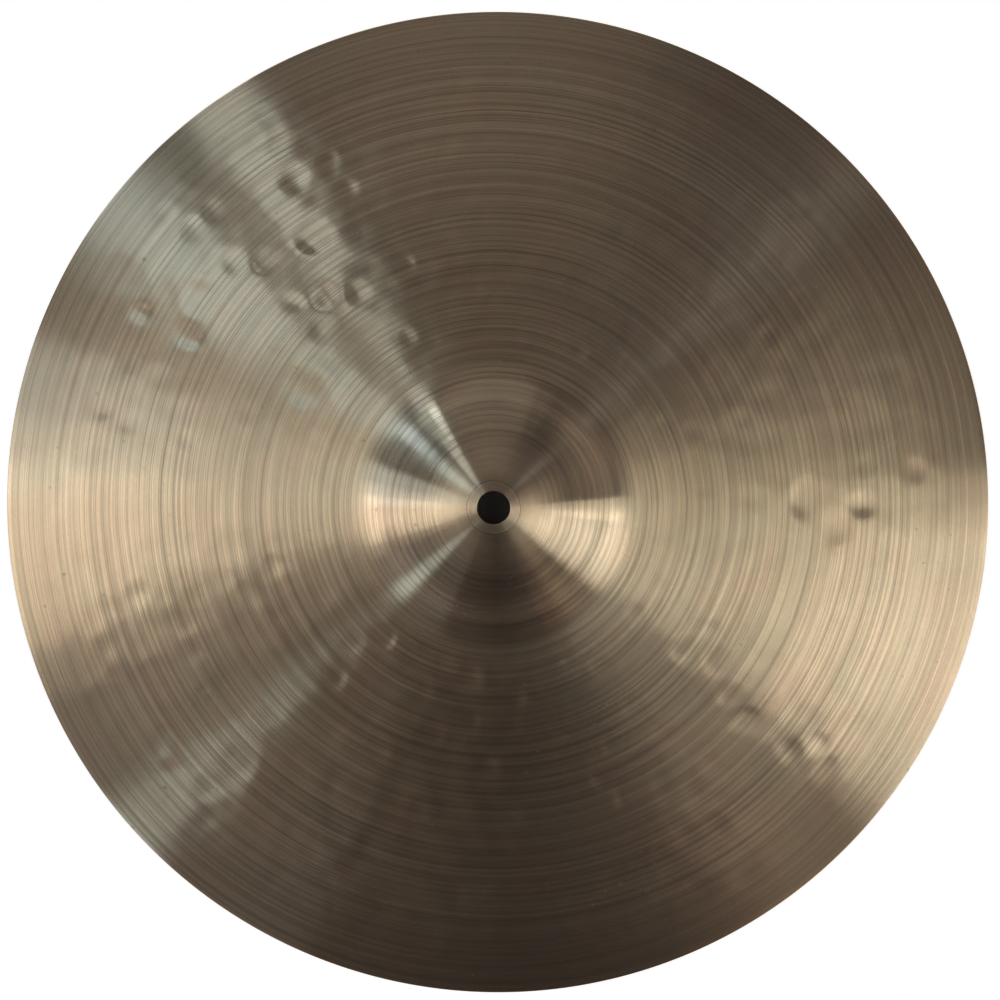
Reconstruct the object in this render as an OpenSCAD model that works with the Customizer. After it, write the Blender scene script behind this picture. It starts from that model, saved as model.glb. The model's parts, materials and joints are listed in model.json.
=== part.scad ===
// Crash cymbal: one bronze plate, pressed, turned and hammered, with a bell, a bow and a bore.
// It lies on its rim with the bell up. The origin is the centre of the plane that the rim rests on.

/* [Plate] */
// Diameter of the plate over its rim
plate_d = 381; // [330:1:460]
// Radius of the bow's curve from the bell to the rim
bow_r = 850; // [700:10:1200]
// Thickness where the bow leaves the bell
bow_t = 1; // [0.8:0.05:1.6]
// Thickness at the rim
rim_t = 0.7; // [0.5:0.05:1.2]
// Width of the break on the rim's upper edge
rim_break = 0.15; // [0.05:0.05:0.25]

/* [Bell] */
// Diameter of the bell at its foot
bell_d = 97; // [84:1:112]
// Height of the bell above the bow at its foot
bell_h = 16; // [13:0.5:22]
// Thickness of the bell at its crown
bell_t = 1.15; // [0.8:0.05:1.6]
// Radius of the hollow between the bell and the bow
hollow_r = 18; // [10:0.5:22]

/* [Bore] */
// Diameter of the bore, which passes a stand's sleeve
bore_d = 12.7; // [9:0.1:14]
// Width of the broken edge at each end of the bore
bore_break = 0.15; // [0.05:0.05:0.25]

/* [Hammer marks] */
// Width of a hammer mark on the face
mark_w = 8; // [6:0.5:10]
// Depth of a hammer mark, which stands out as much on the underside
mark_depth = 0.2; // [0.1:0.05:0.3]

/* [Hidden] */
// Blows of the hammer: place from the bell to the rim in hundredths, and bearing in degrees
blows = [
    [13, 83], [13, 168], [13, 229], [13, 262], [13, 290], [13, 334], [13, 355], [14, 62], [14, 321],
    [16, 25], [16, 145], [17, 117], [18, 160], [19, 45], [19, 223], [19, 247], [19, 276], [19, 304],
    [22, 350], [23, 4], [23, 21], [25, 60], [25, 262], [25, 289], [26, 42], [27, 148], [29, 69],
    [29, 196], [30, 94], [30, 323], [31, 52], [31, 76], [31, 84], [31, 226], [31, 254], [31, 279],
    [32, 134], [33, 330], [33, 354], [34, 123], [34, 170], [35, 111], [36, 1], [37, 20], [37, 159],
    [37, 200], [38, 100], [38, 224], [38, 244], [38, 268], [38, 297], [39, 129], [40, 325],
    [43, 182], [44, 45], [44, 135], [46, 65], [46, 291], [48, 321], [49, 187], [49, 223], [51, 1],
    [51, 72], [51, 96], [51, 168], [51, 256], [51, 280], [52, 230], [53, 32], [53, 294], [53, 301],
    [54, 26], [54, 124], [55, 240], [56, 319], [57, 133], [57, 200], [57, 310], [57, 356], [58, 56],
    [58, 86], [58, 266], [59, 206], [61, 115], [61, 214], [62, 151], [62, 341], [63, 137], [63, 145],
    [63, 292], [64, 159], [65, 0], [65, 34], [65, 70], [65, 98], [65, 225], [65, 250], [65, 278],
    [66, 307], [67, 6], [67, 194], [68, 167], [69, 116], [69, 238], [70, 320], [71, 50], [71, 84],
    [71, 122], [71, 264], [72, 289], [72, 304], [74, 242], [75, 323], [76, 152], [76, 350], [77, 28],
    [77, 66], [77, 96], [77, 134], [77, 138], [77, 166], [77, 224], [77, 252], [79, 200], [79, 204],
    [79, 218], [80, 5], [81, 321], [84, 44], [84, 78], [84, 112], [84, 240], [84, 272], [84, 298],
    [85, 10], [85, 124], [86, 139]
];
hollow_steps = 8;    // rings in the hollow between bell and bow
hollow_reach = 0.5;  // how far the hollow's outer rings run on into the bell and the bow
rim_flat = 0.08;     // height of the rim's lower corner that is stoned off flat
mark_seat = 0.15;    // how far a mark's cap reaches past the surface that it shapes
seam = 177;          // bearing without blows, where each turned surface meets itself

plate_r = plate_d / 2;
bell_r = bell_d / 2;
bore_r = bore_d / 2;

// Face: the bow is part of a ball round a point on the axis, and the bell is part of a smaller one
rim_tilt = asin(plate_r / bow_r);
rim_z = rim_t / cos(rim_tilt) - rim_flat;
bow_z = rim_z - bow_r * cos(rim_tilt);
foot_z = bow_z + sqrt(bow_r ^ 2 - bell_r ^ 2);
bell_ball_r = (bell_r ^ 2 + bell_h ^ 2) / (2 * bell_h);
bell_ball_z = foot_z + bell_h - bell_ball_r;
crown_z = bell_ball_z + sqrt(bell_ball_r ^ 2 - bore_r ^ 2);
// Underside: a ball through the rim's lower corner and a point under the bell's foot, so the bow tapers
foot_tilt = asin(bell_r / bow_r);
inner_foot = [0, foot_z] + [bell_r, 0] - bow_t * [sin(foot_tilt), cos(foot_tilt)];
inner_bow_z = (inner_foot.x ^ 2 + inner_foot.y ^ 2 - plate_r ^ 2 - rim_flat ^ 2)
    / (2 * (inner_foot.y + rim_flat));
inner_bow_r = norm([plate_r, rim_flat + inner_bow_z]);
inner_ball_r = bell_ball_r - bell_t;
cup_z = bell_ball_z + sqrt(inner_ball_r ^ 2 - bore_r ^ 2);
// The ball that a hammer mark is part of
mark_r = (mark_w ^ 2 / 4 + mark_depth ^ 2) / (2 * mark_depth);

function normal(tilt) = [sin(tilt), cos(tilt)];
function extended(from, to) = to + hollow_reach * (to - from) / norm(to - from);

// Ring that fills the corner between the bell's ball and the bow's ball with an arc that touches both
module hollow(ball_radius, ball_height, bow_radius, bow_height, radius) {
    z = ((bow_radius + radius) ^ 2 - (ball_radius + radius) ^ 2 + ball_height ^ 2 - bow_height ^ 2)
        / (2 * (ball_height - bow_height));
    x = sqrt((ball_radius + radius) ^ 2 - (z - ball_height) ^ 2);
    bell_tilt = atan2(x, z - ball_height);
    bow_tilt = atan2(x, z - bow_height);
    arc = [for (i = [0:hollow_steps])
        [x, z] - radius * normal(bell_tilt + (bow_tilt - bell_tilt) * i / hollow_steps)];
    inside = [arc[hollow_steps].x - 2 * radius, arc[hollow_steps].y - radius];
    rotate_extrude($fn = 180) polygon(concat(
        [extended(arc[1], arc[0])],
        [for (i = [1:hollow_steps - 1]) arc[i]],
        [extended(arc[hollow_steps - 1], arc[hollow_steps]), inside]));
}

// Solid under one side of the plate: the bow's ball, the bell's ball and the hollow between them
module form(ball_radius, bow_radius, bow_height, radius) {
    translate([0, 0, bow_height]) sphere(bow_radius, $fn = 256);
    translate([0, 0, bell_ball_z]) sphere(ball_radius, $fn = 256);
    hollow(ball_radius, bell_ball_z, bow_radius, bow_height, radius);
}

// Stock that the plate is trimmed to at the rim
module trim() {
    rotate_extrude($fn = 180) polygon([
        [0, 0], [plate_r, 0], [plate_r, rim_z - rim_break],
        [plate_r - 2 * crown_z, rim_z - rim_break + 2 * crown_z], [0, rim_z - rim_break + 2 * crown_z]]);
}

// Stock that is cut away for the bore and its two broken edges
module bore() {
    rotate_extrude($fn = 180) polygon([
        [0, cup_z - 1], [bore_r + bore_break + 1, cup_z - 1],
        [bore_r, cup_z + bore_break], [bore_r, crown_z - bore_break],
        [bore_r + bore_break + 1, crown_z + 1], [0, crown_z + 1]]);
}

// Puts a hammer mark's cap at each blow, under the face by the given share of the thickness
module marks(depth_share) {
    for (blow = blows) {
        radius = bell_r + (plate_r - bell_r) * blow[0] / 100;
        tilt = asin(radius / bow_r);
        thickness = lookup(radius, [[bell_r, bow_t], [plate_r, rim_t]]);
        rotate(blow[1]) translate([radius, 0, bow_z + bow_r * cos(tilt)]) rotate([0, tilt, 0])
            translate([0, 0, -depth_share * thickness - mark_depth]) intersection() {
                translate([0, 0, mark_r]) sphere(mark_r, $fn = 96);
                cylinder(r = mark_r, h = mark_depth + mark_seat, $fn = 48);
            }
    }
}

module cymbal() {
    color([0.62, 0.53, 0.42]) difference() {
        union() {
            rotate(seam) difference() {
                intersection() {
                    form(bell_ball_r, bow_r, bow_z, hollow_r);
                    trim();
                }
                form(inner_ball_r, inner_bow_r, inner_bow_z, hollow_r + bow_t);
                bore();
            }
            marks(depth_share = 1);
        }
        marks(depth_share = 0);
    }
}

cymbal();
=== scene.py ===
"""Crash cymbal: a lathed and hammered bronze plate, seen from above on a white floor."""

import json
import math

import bpy
import numpy as np
from mathutils import Matrix, Vector, noise


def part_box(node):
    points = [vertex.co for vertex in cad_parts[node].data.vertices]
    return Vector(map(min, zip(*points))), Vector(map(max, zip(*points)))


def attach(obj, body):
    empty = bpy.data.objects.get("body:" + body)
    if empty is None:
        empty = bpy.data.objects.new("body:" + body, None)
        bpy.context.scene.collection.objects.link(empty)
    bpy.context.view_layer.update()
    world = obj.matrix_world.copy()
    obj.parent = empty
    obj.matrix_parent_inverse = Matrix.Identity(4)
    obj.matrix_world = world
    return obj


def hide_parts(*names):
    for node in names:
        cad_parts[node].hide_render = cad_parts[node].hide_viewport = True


MM = 0.001
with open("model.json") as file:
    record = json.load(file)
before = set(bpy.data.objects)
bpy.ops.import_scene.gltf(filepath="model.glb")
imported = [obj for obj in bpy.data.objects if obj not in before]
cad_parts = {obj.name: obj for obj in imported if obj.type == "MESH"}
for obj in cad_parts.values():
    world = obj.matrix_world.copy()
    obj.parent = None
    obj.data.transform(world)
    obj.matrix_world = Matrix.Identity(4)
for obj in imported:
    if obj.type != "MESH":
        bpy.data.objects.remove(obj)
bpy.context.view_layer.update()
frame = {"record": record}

# Plate, in metres: its outer sizes and its bore come from the frame. The others are those of the solid, apart
# from the hollow at the bell's foot, which is wider here, and the bore's broken edges, which are a little finer.
LOW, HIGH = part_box("cymbal")
PLATE_R = min(HIGH[0], HIGH[1], -LOW[0], -LOW[1])
CROWN_Z = HIGH[2]
BORE_R = frame["record"]["mounts"][0]["dims"]["r_mm"] * MM
BOW_R = 850 * MM
BOW_T = 1.0 * MM
RIM_T = 0.7 * MM
BELL_R = 48.5 * MM
BELL_H = 16 * MM
BELL_T = 1.15 * MM
HOLLOW_R = 28 * MM
BORE_BREAK = 0.14 * MM

# Fine rings turned into the crown round the bore: radii, half width and depth, and the radius where the crown ends
CROWN_RINGS = (8.4 * MM, 9.1 * MM, 10.2 * MM)
CROWN_RING_W = 0.35 * MM
CROWN_RING_DEPTH = 0.04 * MM
CROWN_R = 12.5 * MM

# Hammer marks: depth by the weight of the blow, what the soft edge adds to the width in millimetres, and the
# ranges from which each mark draws its breadth against its length, its lean and its share of the depth
MARK_SEED = 15
MARK_DEPTHS = {1: 0.05 * MM, 2: 0.09 * MM, 3: 0.14 * MM, 4: 0.26 * MM, 5: 0.32 * MM}
MARK_EDGE = 4
MARK_BREADTHS = (0.75, 1.15)
MARK_LEANS = (0.1, 0.6)
MARK_SHARES = (0.8, 1.2)
# Blows: place from the bell to the rim in hundredths, bearing in degrees, width in millimetres and weight
BLOWS = (
    (13, 83, 6, 1), (13, 168, 9, 2), (13, 229, 10, 2), (13, 262, 9, 1), (13, 290, 9, 1), (13, 334, 10, 2),
    (13, 355, 16, 3), (14, 62, 7, 2), (14, 321, 11, 2), (16, 25, 8, 1), (16, 145, 6, 1), (17, 117, 5, 1),
    (18, 160, 7, 1), (19, 45, 10, 1), (19, 223, 9, 1), (19, 247, 9, 1), (19, 276, 9, 1), (19, 304, 9, 1),
    (22, 350, 7, 1), (23, 4, 5, 1), (23, 21, 7, 2), (25, 60, 9, 1), (25, 262, 9, 1), (25, 289, 9, 1),
    (26, 42, 5, 1), (27, 148, 16, 4), (29, 69, 8, 2), (29, 196, 10, 1), (30, 94, 9, 1), (30, 323, 10, 2),
    (31, 52, 9, 1), (31, 76, 8, 1), (31, 84, 9, 1), (31, 226, 12, 2), (31, 254, 9, 1), (31, 279, 9, 1),
    (32, 134, 10, 3), (33, 330, 5, 1), (33, 354, 10, 1), (34, 123, 9, 3), (34, 170, 4, 1), (35, 111, 7, 2),
    (36, 1, 9, 2), (37, 20, 6, 1), (37, 159, 10, 2), (37, 200, 9, 2), (38, 100, 9, 1), (38, 224, 12, 1),
    (38, 244, 9, 1), (38, 268, 9, 1), (38, 297, 9, 1), (39, 129, 9, 4), (40, 325, 10, 2), (43, 182, 6, 1),
    (44, 45, 9, 1), (44, 135, 8, 2), (46, 65, 8, 1), (46, 291, 6, 1), (48, 321, 9, 2), (49, 187, 7, 1),
    (49, 223, 10, 1), (51, 1, 15, 5), (51, 72, 9, 1), (51, 96, 9, 1), (51, 168, 8, 3), (51, 256, 9, 1),
    (51, 280, 9, 1), (52, 230, 10, 1), (53, 32, 6, 1), (53, 294, 8, 1), (53, 301, 8, 1), (54, 26, 7, 1),
    (54, 124, 13, 4), (55, 240, 7, 1), (56, 319, 10, 3), (57, 133, 10, 3), (57, 200, 12, 2), (57, 310, 8, 1),
    (57, 356, 16, 5), (58, 56, 9, 1), (58, 86, 9, 1), (58, 266, 9, 1), (59, 206, 9, 2), (61, 115, 6, 2),
    (61, 214, 7, 1), (62, 151, 13, 4), (62, 341, 7, 1), (63, 137, 9, 3), (63, 145, 16, 4), (63, 292, 9, 1),
    (64, 159, 10, 2), (65, 0, 12, 4), (65, 34, 9, 1), (65, 70, 9, 1), (65, 98, 9, 1), (65, 225, 13, 2),
    (65, 250, 9, 1), (65, 278, 9, 1), (66, 307, 9, 1), (67, 6, 7, 2), (67, 194, 9, 2), (68, 167, 9, 3),
    (69, 116, 9, 2), (69, 238, 9, 1), (70, 320, 9, 3), (71, 50, 9, 1), (71, 84, 9, 1), (71, 122, 12, 3),
    (71, 264, 9, 1), (72, 289, 8, 1), (72, 304, 11, 1), (74, 242, 8, 1), (75, 323, 8, 2), (76, 152, 7, 4),
    (76, 350, 6, 1), (77, 28, 9, 1), (77, 66, 9, 1), (77, 96, 9, 1), (77, 134, 9, 2), (77, 138, 9, 3),
    (77, 166, 9, 3), (77, 224, 9, 1), (77, 252, 9, 1), (79, 200, 7, 1), (79, 204, 7, 1), (79, 218, 8, 1),
    (80, 5, 8, 2), (81, 321, 11, 2), (84, 44, 9, 1), (84, 78, 9, 1), (84, 112, 9, 1), (84, 240, 9, 1),
    (84, 272, 9, 1), (84, 298, 9, 1), (85, 10, 5, 1), (85, 124, 8, 2), (86, 139, 7, 2),
)

# Distances past the bell's foot over which the hammering comes up, and short of the rim over which it ends
HAMMER_START = (3 * MM, 14 * MM)
HAMMER_END = (22 * MM, 6 * MM)
# Waves left by hammering: size and height of each, and the slice of the noise that they come from
WAVES = ((30 * MM, 0.06 * MM), (13 * MM, 0.08 * MM), (7 * MM, 0.035 * MM))
WAVE_SLICE = 0.4
# Tonal grooves left by the lathe: their spacing sways over a few pitches, and they come up past the crown
GROOVE_PITCH = 4.4 * MM
GROOVE_DEPTH = 0.008 * MM
GROOVE_SWAY = 3
GROOVE_SWAY_PITCHES = 3
GROOVE_SLICE = (3.7, 0.2)
GROOVE_START = (6 * MM, 12 * MM)

# Camera: above the plate and a little towards the picture's upper right. The rim's width and centre are in pixels
# of the photograph, the distance is in metres, and the tilt and the bearing are in degrees.
IMAGE_PX = 1000
PLATE_PX = 981.5
CAMERA_DISTANCE = 2.2
CAMERA_TILT = 2.9
CAMERA_BEARING = 54
CENTRE_PX = (496.5, 503.8)
SENSOR_MM = 36

# Lamps: name, bearing, elevation, width and height in degrees, strength (1 is white), colour, and the share of the
# width over which the sides fade. The halo of a soft lamp stands behind it, because Cycles loses light where two
# lamps share a plane.
LAMP_DISTANCE = 2.5
HALO_DISTANCE = 2.6
LAMPS = (
    ("warm_right", 335.8, 42, 29, 30.8, 1.45, (0.97, 1.0, 1.05), 0.08),
    ("warm_right_edge", 355.5, 28, 10.2, 61.6, 0.598, (0.96, 1.0, 1.0), 0),
    ("warm_right_high", 340, 70, 22.1, 30.8, 0.405, (0.96, 1.0, 0.95), 0.3),
    ("warm_left", 189.2, 42, 20.4, 30.8, 1.16, (0.99, 1.0, 1.01), 0.2),
    ("warm_left_low", 186, 14, 24, 30.8, 0.371, (1.11, 1.0, 1.2), 0.3),
    ("pale_left", 173, 28, 17, 61.6, 0.5, (0.77, 1.0, 1.26), 0.08),
    ("pale_left_high", 179.5, 70, 18.2, 30.8, 0.463, (0.95, 1.0, 1.05), 0.3),
    ("window_far", 125.3, 20, 4.8, 44, 1.21, (0.76, 1.0, 1.25), 0),
    ("window_far_high", 130.5, 58, 4.08, 33, 0.62, (0.76, 1.0, 1.25), 0.1),
    ("window_far_soft", 131.5, 20, 11, 44, 0.32, (0.65, 1.0, 1.23), 0.3),
    ("window_mid", 143, 20, 8.64, 44, 0.695, (0.69, 1.0, 1.45), 0.2),
    ("window_mid_high", 148.2, 58, 7.44, 33, 0.45, (0.7, 1.0, 1.35), 0.3),
    ("window_mid_soft", 150, 20, 28.3, 44, 0.115, (0.64, 1.0, 1.29), 0.3),
    ("window_mid_top", 151, 72, 13.2, 26.4, 0.125, (0.76, 1.0, 1.09), 0.3),
    ("window_low", 222.8, 28, 7.56, 61.6, 0.434, (0.71, 1.0, 1.24), 0.2),
    ("wall_left", 211.5, 28, 18.7, 61.6, 0.124, (0.91, 1.0, 1.19), 0.3),
    ("wall_left_high", 219, 70, 20.4, 30.8, 0.0579, (1.12, 1.0, 0.89), 0.3),
    ("wall_foot_left", 233.8, 28, 21.6, 61.6, 0.06, (0.93, 1.0, 1.23), 0),
    ("wall_top", 96.5, 28, 53.3, 61.6, 0.137, (1.0, 1.0, 1.06), 0.15),
    ("wall_top_high", 93, 70, 28.8, 30.8, 0.0618, (1.07, 1.0, 0.98), 0.3),
    ("wall_low", 310.5, 28, 22, 61.6, 0.09, (1.12, 1.0, 0.89), 0.15),
    ("wall_low_high", 303, 70, 13.7, 30.8, 0.0463, (1.09, 1.0, 1.02), 0.3),
    ("wall_foot", 299, 28, 16.8, 61.6, 0.027, (1.57, 1.0, 0.84), 0),
    ("wall_right", 26, 22, 68, 34, 0.115, (1.12, 1.0, 0.93), 0.3),
    ("wall_right_high", 14.5, 70, 18, 30.8, 0.03, (1.16, 1.0, 0.9), 0.3),
    ("wall_right_far", 49, 70, 18.7, 30.8, 0.018, (0.89, 1.0, 1.41), 0.3),
    ("window_right", 41.5, 63, 4.5, 30, 0.08, (0.85, 1.0, 1.2), 0.3),
)
# Room: its strength, what its two sides add to it, and its colour
ROOM_REST = 0.034
ROOM_SIDES = 0.084
ROOM_COLOUR = (1.04, 1.0, 1.1, 1)


def smooth(value, low, high):
    """0 up to low, 1 from high on, and an even rise between."""
    t = np.clip((value - low) / (high - low), 0, 1)
    return t * t * (3 - 2 * t)


# Balls that the bell and the bow are parts of, and the hollow that rolls on both at the bell's foot
BALL_R = (BELL_R ** 2 + BELL_H ** 2) / (2 * BELL_H)
CROWN_TILT = math.asin(CROWN_R / BALL_R)
BALL_Z = CROWN_Z - math.sqrt(BALL_R ** 2 - (BORE_R + BORE_BREAK) ** 2)
BOW_Z = BALL_Z + BALL_R - BELL_H - math.sqrt(BOW_R ** 2 - BELL_R ** 2)
HOLLOW_Z = (((BOW_R + HOLLOW_R) ** 2 - (BALL_R + HOLLOW_R) ** 2 + BALL_Z ** 2 - BOW_Z ** 2)
            / (2 * (BALL_Z - BOW_Z)))
HOLLOW_X = math.sqrt((BALL_R + HOLLOW_R) ** 2 - (HOLLOW_Z - BALL_Z) ** 2)
BELL_TILT = math.atan2(HOLLOW_X, HOLLOW_Z - BALL_Z)
BOW_TILT = math.atan2(HOLLOW_X, HOLLOW_Z - BOW_Z)
RIM_TILT = math.asin((PLATE_R - RIM_T / 2) / (BOW_R - RIM_T / 2))


def face_point(tilt, part):
    """Radius and height of the face where its normal leans by tilt from the axis."""
    s, c = math.sin(tilt), math.cos(tilt)
    if part == "bell":
        return BALL_R * s, BALL_Z + BALL_R * c
    if part == "hollow":
        return HOLLOW_X - HOLLOW_R * s, HOLLOW_Z - HOLLOW_R * c
    return BOW_R * s, BOW_Z + BOW_R * c


def face_rings(bell_steps, hollow_steps, bow_steps):
    """Rings of the face from the crown to the rim: radius, height and tilt."""
    spans = (("bell", CROWN_TILT, BELL_TILT, bell_steps), ("hollow", BELL_TILT, BOW_TILT, hollow_steps),
             ("bow", BOW_TILT, RIM_TILT, bow_steps))
    rings = []
    for part, start, end, steps in spans:
        for i in range(steps):
            tilt = start + (end - start) * i / steps
            rings.append((*face_point(tilt, part), tilt))
    rings.append((*face_point(RIM_TILT, "bow"), RIM_TILT))
    return rings


def thickness(r):
    """Thickness of the plate, which tapers from the crown to the rim."""
    return float(np.interp(r, (0, BELL_R, PLATE_R), (BELL_T, BOW_T, RIM_T)))


def make_marks():
    """Hammer marks as centre, half sizes, turn, lean and depth: no two blows fall alike."""
    rng = np.random.default_rng(MARK_SEED)
    marks = []
    for place, bearing, width, weight in BLOWS:
        angle = math.radians(bearing)
        r = BELL_R + (PLATE_R - BELL_R) * place / 100
        half = (width + MARK_EDGE) / 2 * MM
        marks.append((r * math.cos(angle), r * math.sin(angle), half, half * rng.uniform(*MARK_BREADTHS),
                      rng.uniform(0, 2 * math.pi), rng.uniform(*MARK_LEANS),
                      MARK_DEPTHS[weight] * rng.uniform(*MARK_SHARES)))
    return marks


MARKS = make_marks()


def hammered(x, y):
    """Depth of the hammer marks below the turned surface: a blow that leans is deepest towards one side."""
    depth = np.zeros_like(x)
    for cx, cy, a, b, turn, lean, d in MARKS:
        dx, dy = x - cx, y - cy
        near = np.hypot(dx, dy) < max(a, b)
        if near.any():
            dx, dy = dx[near], dy[near]
            u = (dx * math.cos(turn) + dy * math.sin(turn)) / a - lean
            v = (dy * math.cos(turn) - dx * math.sin(turn)) / b
            q = (lean * u + np.sqrt(u * u + (1 - lean ** 2) * v * v)) / (1 - lean ** 2)
            depth[near] += d * np.clip(1 - q * q, 0, 1) ** 2
    return depth


def uneven(x, y):
    """Slow waves that hammering leaves in the plate between its marks."""
    wave = np.zeros_like(x)
    for size, height in WAVES:
        spots = [Vector((px / size, py / size, WAVE_SLICE)) for px, py in zip(x, y)]
        wave += height * np.array([noise.noise(spot) for spot in spots])
    return wave


def grooves(r):
    """Depth of the tonal grooves, which run round the axis."""
    sway = noise.noise(Vector((r / (GROOVE_SWAY_PITCHES * GROOVE_PITCH), *GROOVE_SLICE)))
    return GROOVE_DEPTH * math.sin(2 * math.pi * r / GROOVE_PITCH + GROOVE_SWAY * sway)


def crown_rings(r):
    """Depth of the fine rings round the bore."""
    return sum(CROWN_RING_DEPTH * max(0, 1 - abs(r - ring) / CROWN_RING_W) for ring in CROWN_RINGS)


class Sheet:
    """Vertices and faces of the plate, gathered ring by ring."""

    def __init__(self):
        self.points = []
        self.uv_polar = []
        self.faces = []
        self.islands = []
        self.count = 0

    def ring(self, points, uv_r, angle):
        """Adds a ring and returns the index of its first point and the number of its points."""
        start = self.count
        self.points.append(points)
        self.uv_polar.append(np.column_stack((np.full_like(angle, uv_r), angle)))
        self.count += len(points)
        return start, len(points)

    def join(self, inner, outer, up):
        """Quads between two rings of the same count, or triangles where one has twice as many."""
        (a, n), (b, m) = inner, outer
        if n > m:
            self.stitch(b, m, a, not up, up)
        elif m > n:
            self.stitch(a, n, b, up, up)
        else:
            for i in range(n):
                j = (i + 1) % n
                self.face([a + i, b + i, b + j, a + j], up, up)

    def stitch(self, a, n, b, forward, up):
        """Triangles between the ring of n points from a on and the one of twice as many from b on."""
        for i in range(n):
            j, k = (i + 1) % n, 2 * i
            for loop in ([a + i, b + k, b + k + 1], [a + i, b + k + 1, a + j],
                         [a + j, b + k + 1, b + (k + 2) % (2 * n)]):
                self.face(loop, forward, up)

    def face(self, loop, forward, up):
        """Adds a face of the upper or the lower side, turned over unless it runs forward."""
        self.faces.append(loop if forward else loop[::-1])
        self.islands.append(0 if up else 1)


# UV discs: centre and radius of the face's and of the underside's, and the margin left round the rim
UV_DISCS = ((0.375, 0.375, 0.37), (0.78, 0.78, 0.21))
UV_MARGIN = 1 * MM
# Points of a ring on the bell and, from the dense radius on, on the bow
FACE_SEGMENTS = (300, 600)
UNDER_SEGMENTS = (150, 300)
DENSE_R = BELL_R + HAMMER_START[0]
# Rings of the bell, the hollow and the bow on each side, of the crown below and above, and of the rounded rim
FACE_STEPS = (26, 10, 102)
UNDER_STEPS = (14, 6, 36)
CROWN_STEPS = (3, 22)
RIM_STEPS = 4
# Gap between the crown's last ring and the bell's first, and share of the bore's broken edge that its middle keeps
CROWN_GAP = 0.3 * MM
BREAK_SHARE = 0.3


def lay_ring(sheet, r, z, tilt, segments, worked, uv_r):
    """A ring of the plate, pushed along its normal where the plate is worked."""
    angle = np.arange(segments) * (2 * math.pi / segments)
    x, y = r * np.cos(angle), r * np.sin(angle)
    push = np.zeros_like(angle)
    if worked > 0:
        push = worked * (hammered(x, y) + uneven(x, y))
    radial = r - push * math.sin(tilt)
    points = np.column_stack((radial * np.cos(angle), radial * np.sin(angle), z - push * math.cos(tilt)))
    return sheet.ring(points, uv_r, angle)


def section(up):
    """Rows of one side from the bore to the rim: radius, height, tilt, share of the hammering and UV radius."""
    out = 1 if up else -1
    ball = BALL_R if up else BALL_R - BELL_T
    edge = BALL_Z + math.sqrt(ball ** 2 - (BORE_R + BORE_BREAK) ** 2)
    rows = [(BORE_R, edge - out * BORE_BREAK, math.pi / 2, 0, BORE_R - BORE_BREAK),
            (BORE_R + BREAK_SHARE * BORE_BREAK, edge - out * BREAK_SHARE * BORE_BREAK, math.pi / 4, 0, BORE_R)]
    for r in np.linspace(BORE_R + BORE_BREAK, CROWN_R - CROWN_GAP, CROWN_STEPS[up]):
        dip = crown_rings(r) if up else 0
        rows.append((r, BALL_Z + math.sqrt(ball ** 2 - r ** 2) - dip, math.asin(r / ball), 0, r))
    for r, z, tilt in face_rings(*(FACE_STEPS if up else UNDER_STEPS)):
        worked = (smooth(r, BELL_R + HAMMER_START[0], BELL_R + HAMMER_START[1])
                  * (1 - smooth(r, PLATE_R - HAMMER_END[0], PLATE_R - HAMMER_END[1])))
        down = thickness(r)
        if up:
            down = grooves(r) * smooth(r, CROWN_R + GROOVE_START[0], CROWN_R + GROOVE_START[1])
        rows.append((r - down * math.sin(tilt), z - down * math.cos(tilt), tilt, worked, r))
    start = RIM_TILT if up else math.pi + RIM_TILT
    for i in range(1, RIM_STEPS + int(up)):
        turn = start + (math.pi / 2 - start) * i / RIM_STEPS
        rows.append((PLATE_R + RIM_T / 2 * (math.sin(turn) - 1), RIM_T / 2 * (1 + math.cos(turn)), turn, 0,
                     PLATE_R + RIM_T / 2 * i / RIM_STEPS))
    return rows


def build_plate():
    """The plate from the middle of the bore's wall over both sides to the rim, with a UV disc for each side."""
    sheet = Sheet()
    wall = lay_ring(sheet, BORE_R, CROWN_Z - BELL_T / 2, 0, FACE_SEGMENTS[0], 0, BORE_R - BELL_T / 2)
    edge = None
    for up, segments in ((True, FACE_SEGMENTS), (False, UNDER_SEGMENTS)):
        last = wall
        for r, z, tilt, worked, uv_r in section(up):
            now = lay_ring(sheet, r, z, tilt, segments[int(r > DENSE_R)], worked, uv_r)
            sheet.join(last, now, up)
            last = now
        if up:
            edge = last
        else:
            sheet.join(last, edge, up)
    mesh = bpy.data.meshes.new("cymbal_plate")
    mesh.from_pydata(np.concatenate(sheet.points).tolist(), [], sheet.faces)
    polar = np.concatenate(sheet.uv_polar)
    loops = np.empty(len(mesh.loops), dtype=np.int64)
    mesh.loops.foreach_get("vertex_index", loops)
    discs = np.array(UV_DISCS)[np.repeat(sheet.islands, [len(face) for face in sheet.faces])]
    reach = polar[loops, 0] * discs[:, 2] / (PLATE_R + UV_MARGIN)
    angle = polar[loops, 1]
    uvs = np.column_stack((discs[:, 0] + reach * np.cos(angle), discs[:, 1] + reach * np.sin(angle)))
    mesh.uv_layers.new(name="OFBake").data.foreach_set("uv", uvs.astype(np.float32).ravel())
    mesh.polygons.foreach_set("use_smooth", np.ones(len(mesh.polygons), dtype=bool))
    mesh.update()
    plate = bpy.data.objects.new("cymbal_plate", mesh)
    bpy.context.scene.collection.objects.link(plate)
    return plate


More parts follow.
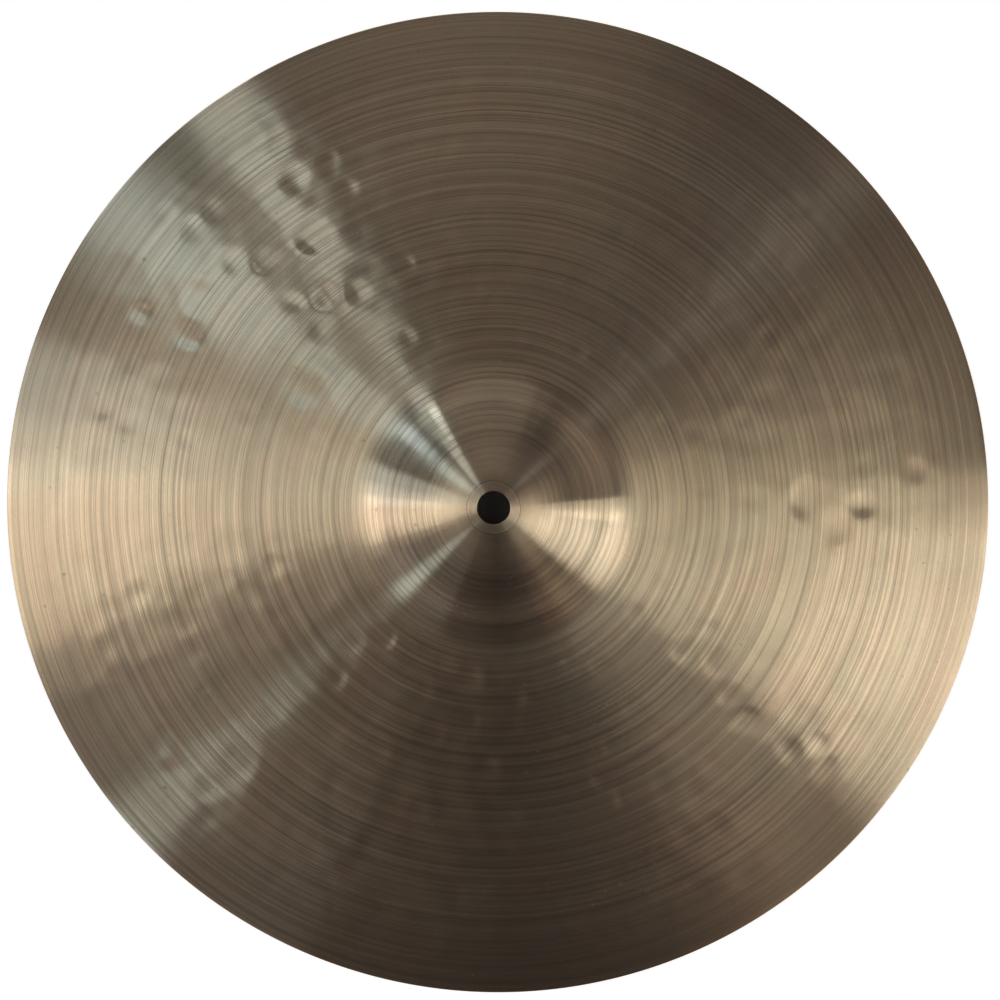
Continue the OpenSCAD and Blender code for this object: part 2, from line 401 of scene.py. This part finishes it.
class Nodes:
    """Short way to write a node tree."""

    def __init__(self, tree):
        self.tree = tree
        tree.nodes.clear()

    def add(self, kind, inputs=None, **settings):
        node = self.tree.nodes.new(kind)
        for name, value in settings.items():
            setattr(node, name, value)
        for name, value in (inputs or {}).items():
            self.feed(node.inputs[name], value)
        return node

    def feed(self, socket, value):
        if isinstance(value, bpy.types.NodeSocket):
            self.tree.links.new(value, socket)
        else:
            socket.default_value = value

    def math(self, operation, a, b=0.0, c=0.0):
        return self.add("ShaderNodeMath", {0: a, 1: b, 2: c}, operation=operation).outputs[0]

    def vector(self, operation, a, b=(0, 0, 0)):
        return self.add("ShaderNodeVectorMath", {0: a, 1: b}, operation=operation).outputs[0]

    def scaled(self, vector, factor):
        return self.add("ShaderNodeVectorMath", {"Vector": vector, "Scale": factor},
                        operation="SCALE").outputs[0]

    def combine(self, x, y, z):
        return self.add("ShaderNodeCombineXYZ", {"X": x, "Y": y, "Z": z}).outputs[0]

    def noise(self, vector, scale, detail=0.0):
        """Noise about 0, from -1 to 1."""
        fac = self.add("ShaderNodeTexNoise", {"Vector": vector, "Scale": scale, "Detail": detail}).outputs["Fac"]
        return self.math("MULTIPLY_ADD", fac, 2.0, -1.0)

    def rise(self, value, low, high):
        """0 up to low, 1 from high on, and an even rise between."""
        return self.add("ShaderNodeMapRange", {"Value": value, "From Min": low, "From Max": high},
                        interpolation_type="SMOOTHSTEP").outputs[0]

    def total(self, first, *parts):
        """first plus each part's value times its weight."""
        for value, weight in parts:
            first = self.math("MULTIPLY_ADD", value, weight, first)
        return first


# Painted light and shade over the radius (millimetres, tone): brightest, as painted light, on the crown and past the
# bell's foot, darkest, as painted shade, half way down the bell, and falling off to the rim
TONES_WITH_PAINTED_LIGHT = ((0, 0.8), (8, 0.804), (15, 1.054), (22, 0.972), (29, 0.756), (35, 0.797), (41, 0.914), (45, 0.947),
         (49, 0.934), (55, 1.115), (66, 1.059), (83, 0.956), (105, 0.975), (126, 1.005), (146, 1.015), (163, 0.978),
         (172, 0.878), (180, 0.851), (190.5, 0.831))
TONE_TOP = 1.25
# Radii in millimetres over which the grooves come up from the polished crown and lose a share towards the rim
CROWN_POLISH = (13, 30)
RIM_POLISH = (163, 170)
RIM_LOSS = 0.25
# Grooves: pitch in millimetres, how their phase and strength vary (pitches, change along a ring, amount), and how far
# all of them wander from the circle over what distance
TURNED_PITCHES = {"wide": 5.6, "coarse": 2.3, "close": 0.95}
PHASE_PITCHES, PHASE_TURN, PHASE_SWAY = 4, 0.5, 4.0
LEVEL_PITCHES, LEVEL_TURN, LEVEL_SWAY = 2.6, 0.9, 0.9
LEVEL_BASE = 0.75
WANDER, WANDER_SIZE = 0.2, 18
# Noise in rings: pitch in millimetres and change along a ring. The last is too fine to be seen ring by ring.
FINE_RINGS = (0.42, 1.0)
BROAD_RINGS = (5.0, 1.2)
MICRO_RINGS = (0.004, 1.0)
MICRO_SLOPE = 0.4
# Thin lines: pitch in millimetres and sharpness, and their change along a ring
PALE_LINES = (3.1, 5.0)
DARK_LINES = (2.4, 4.0)
LINE_TURN = 0.6
# Spots and patches: size in millimetres and detail of the noise, and the span over which spots come up
GRAIN, GRAIN_SPAN = (0.9, 1.0), (0.1, 0.7)
PITS, PITS_SPAN = (2.6, 0.0), (0.56, 0.7)
MOTTLE = (28, 2.0)
PATINA = (9, 2.0)
# Dull collar inside the outermost ring round the bore, and dark lines of painted shade in the rings' hollows, in
# millimetres
COLLAR_EDGE = 0.4
PAINTED_RING_SHADE_W = 0.3
# Weight of each pattern in the slope of the grooves, the slope of the finest rings, the tone, the roughness and the
# hue from pink to olive
SLOPE_WEIGHTS = {"wide_slope": 0.012, "coarse_slope": 0.018, "close_slope": 0.012, "fine": 0.022}
MICRO_WEIGHTS = {"wide": -0.1, "coarse": -0.14, "close": -0.16, "fine": 0.4, "pale": 0.2, "dark": -0.2}
TONE_BASE = 1.17
# In the tone, the depths of the wide, coarse and close grooves are painted shade in their hollows, and the fine rings
# and the pale and dark lines are painted sheen and shade; patina, grain and pits are the bronze's own tone
TONE_AND_PAINTED_SHEEN_WEIGHTS = {"wide": -0.13, "coarse": -0.2, "close": -0.17, "fine": 0.16, "pale": 0.1, "dark": -0.12,
                "patina": 0.04, "grain": -0.06, "pits": -0.12}
# Painted shade in the hollows of the crown's three rings: how much each darkens the tone
PAINTED_RING_SHADE_TONES = (-0.12, -0.15, -0.4)
ROUGH_BASE = 0.15
ROUGH_WEIGHTS = {"broad": 0.01, "mottle": 0.01, "coarse": 0.025, "close": 0.03, "fine": -0.04, "dark": 0.03,
                 "pits": 0.1, "collar": 0.16}
HUE_WEIGHTS = {"broad": 0.25, "mottle": 1.0}
HUE_SPAN = (-0.6, 0.6)
PINK_BRONZE = (0.825, 0.602, 0.388, 1)
OLIVE_BRONZE = (0.79, 0.622, 0.398, 1)
# Quarter turn from the tangent, so that a light is drawn out along the radius
GRAIN_TURN = 0.25


def bronze():
    """Bronze turned on a lathe: grooves round the axis, which draw each light out along the radius."""
    material = bpy.data.materials.new("lathed_bronze")
    material.use_nodes = True
    n = Nodes(material.node_tree)
    place = n.add("ShaderNodeTexCoord").outputs["Object"]
    flat = n.scaled(n.vector("MULTIPLY", place, (1, 1, 0)), 1 / MM)
    radius = n.add("ShaderNodeVectorMath", {0: flat}, operation="LENGTH").outputs["Value"]
    outward = n.vector("NORMALIZE", flat)
    side = n.add("ShaderNodeSeparateXYZ", {0: outward}).outputs

    def patches(size, detail):
        """Noise in patches of about the size, in millimetres."""
        return n.noise(flat, 1 / size, detail)

    def rings(pitch, turn):
        """Noise in rings of about the pitch, in millimetres, that changes slowly along each ring."""
        return n.noise(n.combine(n.math("DIVIDE", wander, pitch), n.math("MULTIPLY", side[0], turn),
                                 n.math("MULTIPLY", side[1], turn)), 1.0)

    def turning(pitch):
        """Depth, 0 to 1, and slope, -1 to 1, of grooves whose spacing and strength vary a little."""
        phase = n.total(n.math("MULTIPLY", wander, 2 * math.pi / pitch),
                        (rings(PHASE_PITCHES * pitch, PHASE_TURN), PHASE_SWAY))
        level = n.total(LEVEL_BASE, (rings(LEVEL_PITCHES * pitch, LEVEL_TURN), LEVEL_SWAY))
        level = n.math("MULTIPLY", turned, level)
        depth = n.math("POWER", n.math("MULTIPLY_ADD", n.math("SINE", phase), 0.5, 0.5), 2.0)
        return n.math("MULTIPLY", depth, level), n.math("MULTIPLY", n.math("COSINE", phase), level)

    def cuts(pitch, sharpness):
        """Thin lines at uneven distances of about the pitch: 1 on a line and 0 off it."""
        edge = n.total(1.0, (n.math("ABSOLUTE", rings(pitch, LINE_TURN)), -sharpness))
        return n.math("MULTIPLY", n.math("MAXIMUM", edge, 0.0), turned)

    def blend(base, weights):
        """base plus each named pattern times its weight."""
        return n.total(base, *((patterns[name], weight) for name, weight in weights.items()))

    wander = n.total(radius, (patches(WANDER_SIZE, 0.0), WANDER))
    turned = n.math("MULTIPLY", n.rise(radius, *CROWN_POLISH),
                    n.total(1.0, (n.rise(radius, *RIM_POLISH), -RIM_LOSS)))
    last_ring = CROWN_RINGS[-1] / MM
    patterns = {
        "fine": n.math("MULTIPLY", rings(*FINE_RINGS), turned),
        "broad": rings(*BROAD_RINGS),
        "pale": cuts(*PALE_LINES),
        "dark": cuts(*DARK_LINES),
        "grain": n.rise(patches(*GRAIN), *GRAIN_SPAN),
        "pits": n.rise(patches(*PITS), *PITS_SPAN),
        "mottle": patches(*MOTTLE),
        "patina": patches(*PATINA),
        "collar": n.rise(radius, last_ring, last_ring - COLLAR_EDGE),
    }
    for name, pitch in TURNED_PITCHES.items():
        patterns[name], patterns[name + "_slope"] = turning(pitch)
    # Dark lines of painted shade in the hollows of the rings round the bore
    painted_ring_shade = [n.rise(n.math("ABSOLUTE", n.math("SUBTRACT", radius, ring / MM)), PAINTED_RING_SHADE_W, 0.0)
                  for ring in CROWN_RINGS]

    micro = n.math("MULTIPLY", MICRO_SLOPE, blend(1.0, MICRO_WEIGHTS))
    slope = n.total(blend(0.0, SLOPE_WEIGHTS), (rings(*MICRO_RINGS), micro))
    facing = n.add("ShaderNodeNewGeometry").outputs["Normal"]
    normal = n.vector("NORMALIZE", n.vector("ADD", facing, n.scaled(outward, slope)))

    # The ramp paints light and shade over the radius into the colour: painted light on the crown and past the bell's
    # foot, painted shade half way down the bell
    painted_light_ramp = n.add("ShaderNodeValToRGB", {0: n.math("DIVIDE", radius, TONES_WITH_PAINTED_LIGHT[-1][0])})
    stops = painted_light_ramp.color_ramp.elements
    for i, (r, tone_and_painted_light) in enumerate(TONES_WITH_PAINTED_LIGHT):
        stop = stops[i] if i < 2 else stops.new(1.0)
        stop.position = r / TONES_WITH_PAINTED_LIGHT[-1][0]
        stop.color = (tone_and_painted_light / TONE_TOP,) * 3 + (1,)
    tone_and_painted_light = n.math("MULTIPLY", painted_light_ramp.outputs[0], TONE_TOP)
    # Painted sheen and shade of the grooves and lines, and painted shade in the crown's rings, go into the tone here
    tone_and_painted_light = n.math("MULTIPLY", tone_and_painted_light, n.total(blend(TONE_BASE, TONE_AND_PAINTED_SHEEN_WEIGHTS), *zip(painted_ring_shade, PAINTED_RING_SHADE_TONES)))
    hue = n.rise(blend(0.0, HUE_WEIGHTS), *HUE_SPAN)
    colour = n.add("ShaderNodeMix", {"Factor": hue, 6: PINK_BRONZE, 7: OLIVE_BRONZE}, data_type="RGBA").outputs[2]
    # The colour carries the painted light and shade of the ramp and the painted sheen and shade of the grooves and
    # lines
    colour = n.scaled(colour, tone_and_painted_light)
    rough = blend(ROUGH_BASE, ROUGH_WEIGHTS)
    tangent = n.add("ShaderNodeTangent", direction_type="RADIAL", axis="Z").outputs[0]
    shader = n.add("ShaderNodeBsdfPrincipled", {
        "Base Color": colour, "Metallic": 1.0, "Roughness": rough, "Anisotropic": 1.0,
        "Anisotropic Rotation": GRAIN_TURN, "Normal": normal, "Tangent": tangent})
    n.add("ShaderNodeOutputMaterial", {"Surface": shader.outputs[0]})
    return material


def visible_ray(n):
    """1 for rays that show a background: from the camera, off metal or through glass."""
    path = n.add("ShaderNodeLightPath").outputs
    seen = n.math("MAXIMUM", path["Is Camera Ray"], path["Is Glossy Ray"])
    return n.math("MAXIMUM", seen, path["Is Transmission Ray"])


# Floor: half its side, its drop below the rim, its colour, its glow, and where the glow starts as a share of the
# plate's radius; inside that the floor has a painted shadow
FLOOR_HALF = 40.0
FLOOR_DROP = 0.0003
FLOOR_COLOUR = (0.8, 0.8, 0.8, 1)
FLOOR_GLOW = 0.75
GLOW_START = 0.9


def build_floor():
    """White floor: its glow stops under the plate, a painted shadow that makes the bore show a dark space."""
    material = bpy.data.materials.new("white_floor")
    material.use_nodes = True
    n = Nodes(material.node_tree)
    place = n.add("ShaderNodeTexCoord").outputs["Object"]
    radius = n.add("ShaderNodeVectorMath", {0: place}, operation="LENGTH").outputs["Value"]
    # No glow under the plate: a painted shadow there
    glow_past_painted_shadow = n.rise(radius, GLOW_START * PLATE_R, PLATE_R)
    diffuse = n.add("ShaderNodeBsdfDiffuse", {"Color": FLOOR_COLOUR})
    glow = n.math("MULTIPLY", n.math("MULTIPLY", visible_ray(n), glow_past_painted_shadow), FLOOR_GLOW)
    light = n.add("ShaderNodeEmission", {"Strength": glow})
    both = n.add("ShaderNodeAddShader", {0: diffuse.outputs[0], 1: light.outputs[0]})
    n.add("ShaderNodeOutputMaterial", {"Surface": both.outputs[0]})
    mesh = bpy.data.meshes.new("floor")
    corners = [(sx * FLOOR_HALF, sy * FLOOR_HALF, 0) for sx, sy in ((-1, -1), (1, -1), (1, 1), (-1, 1))]
    mesh.from_pydata(corners, [], [(0, 1, 2, 3)])
    mesh.materials.append(material)
    floor = bpy.data.objects.new("floor", mesh)
    floor.location.z = -FLOOR_DROP
    bpy.context.scene.collection.objects.link(floor)


def bearing_vector(bearing, elevation):
    """Direction of a bearing and an elevation in degrees."""
    b, e = math.radians(bearing), math.radians(elevation)
    return Vector((math.cos(b) * math.cos(e), math.sin(b) * math.cos(e), math.sin(e)))


def aim(position, target, up):
    """Matrix of a lamp or camera at position that looks at target."""
    back = (position - target).normalized()
    side = up.cross(back).normalized()
    rise = back.cross(side)
    return Matrix.Translation(position) @ Matrix((side, rise, back)).transposed().to_4x4()


def build_lamp(name, bearing, elevation, width, height, strength, colour, distance):
    """Elliptical lamp of the given size in degrees that faces the plate. Its strength is the radiance of its face."""
    data = bpy.data.lights.new(name, "AREA")
    data.shape = "ELLIPSE"
    data.size = 2 * distance * math.tan(math.radians(width / 2))
    data.size_y = 2 * distance * math.tan(math.radians(height / 2))
    data.energy = strength * math.pi ** 2 / 4 * data.size * data.size_y
    data.color = colour
    lamp = bpy.data.objects.new(name, data)
    lamp.matrix_world = aim(bearing_vector(bearing, elevation) * distance, Vector(), Vector((0, 0, 1)))
    bpy.context.scene.collection.objects.link(lamp)


def build_lamps():
    """Lamps round the plate: a soft one is a narrow lamp and, behind it, a wide one with half the light each."""
    for name, bearing, elevation, width, height, strength, colour, soft in LAMPS:
        if soft:
            build_lamp(name, bearing, elevation, width * (1 - soft), height, strength / (1 - soft) / 2, colour,
                       LAMP_DISTANCE)
            build_lamp(name + "_halo", bearing, elevation, width * (1 + soft), height, strength / (1 + soft) / 2,
                       colour, HALO_DISTANCE)
        else:
            build_lamp(name, bearing, elevation, width, height, strength, colour, LAMP_DISTANCE)


def build_world():
    """Dim room, lit from its two sides."""
    world = bpy.data.worlds.new("studio")
    bpy.context.scene.world = world
    world.use_nodes = True
    n = Nodes(world.node_tree)
    toward = n.add("ShaderNodeTexCoord").outputs["Generated"]
    across = n.math("ABSOLUTE", n.add("ShaderNodeSeparateXYZ", {0: toward}).outputs[0])
    strength = n.total(ROOM_REST, (across, ROOM_SIDES))
    room = n.add("ShaderNodeBackground", {"Color": ROOM_COLOUR, "Strength": strength})
    n.add("ShaderNodeOutputWorld", {"Surface": room.outputs[0]})


def build_camera():
    """Camera that sees the rim as wide as the photograph does, and at the same place."""
    data = bpy.data.cameras.new("camera")
    data.sensor_fit = "HORIZONTAL"
    data.sensor_width = SENSOR_MM
    scale = 2 * PLATE_R / PLATE_PX
    data.lens = data.sensor_width * CAMERA_DISTANCE / (scale * IMAGE_PX)
    camera = bpy.data.objects.new("camera", data)
    half = IMAGE_PX / 2
    target = Vector(((half - CENTRE_PX[0]) * scale, (CENTRE_PX[1] - half) * scale, 0))
    position = target + bearing_vector(CAMERA_BEARING, 90 - CAMERA_TILT) * CAMERA_DISTANCE
    camera.matrix_world = aim(position, target, Vector((0, 1, 0)))
    bpy.context.scene.collection.objects.link(camera)
    bpy.context.scene.camera = camera


plate = build_plate()
plate.data.materials.append(bronze())
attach(plate, "root")
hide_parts("cymbal")
build_floor()
build_lamps()
build_world()
build_camera()
bpy.context.scene.view_settings.view_transform = "Standard"
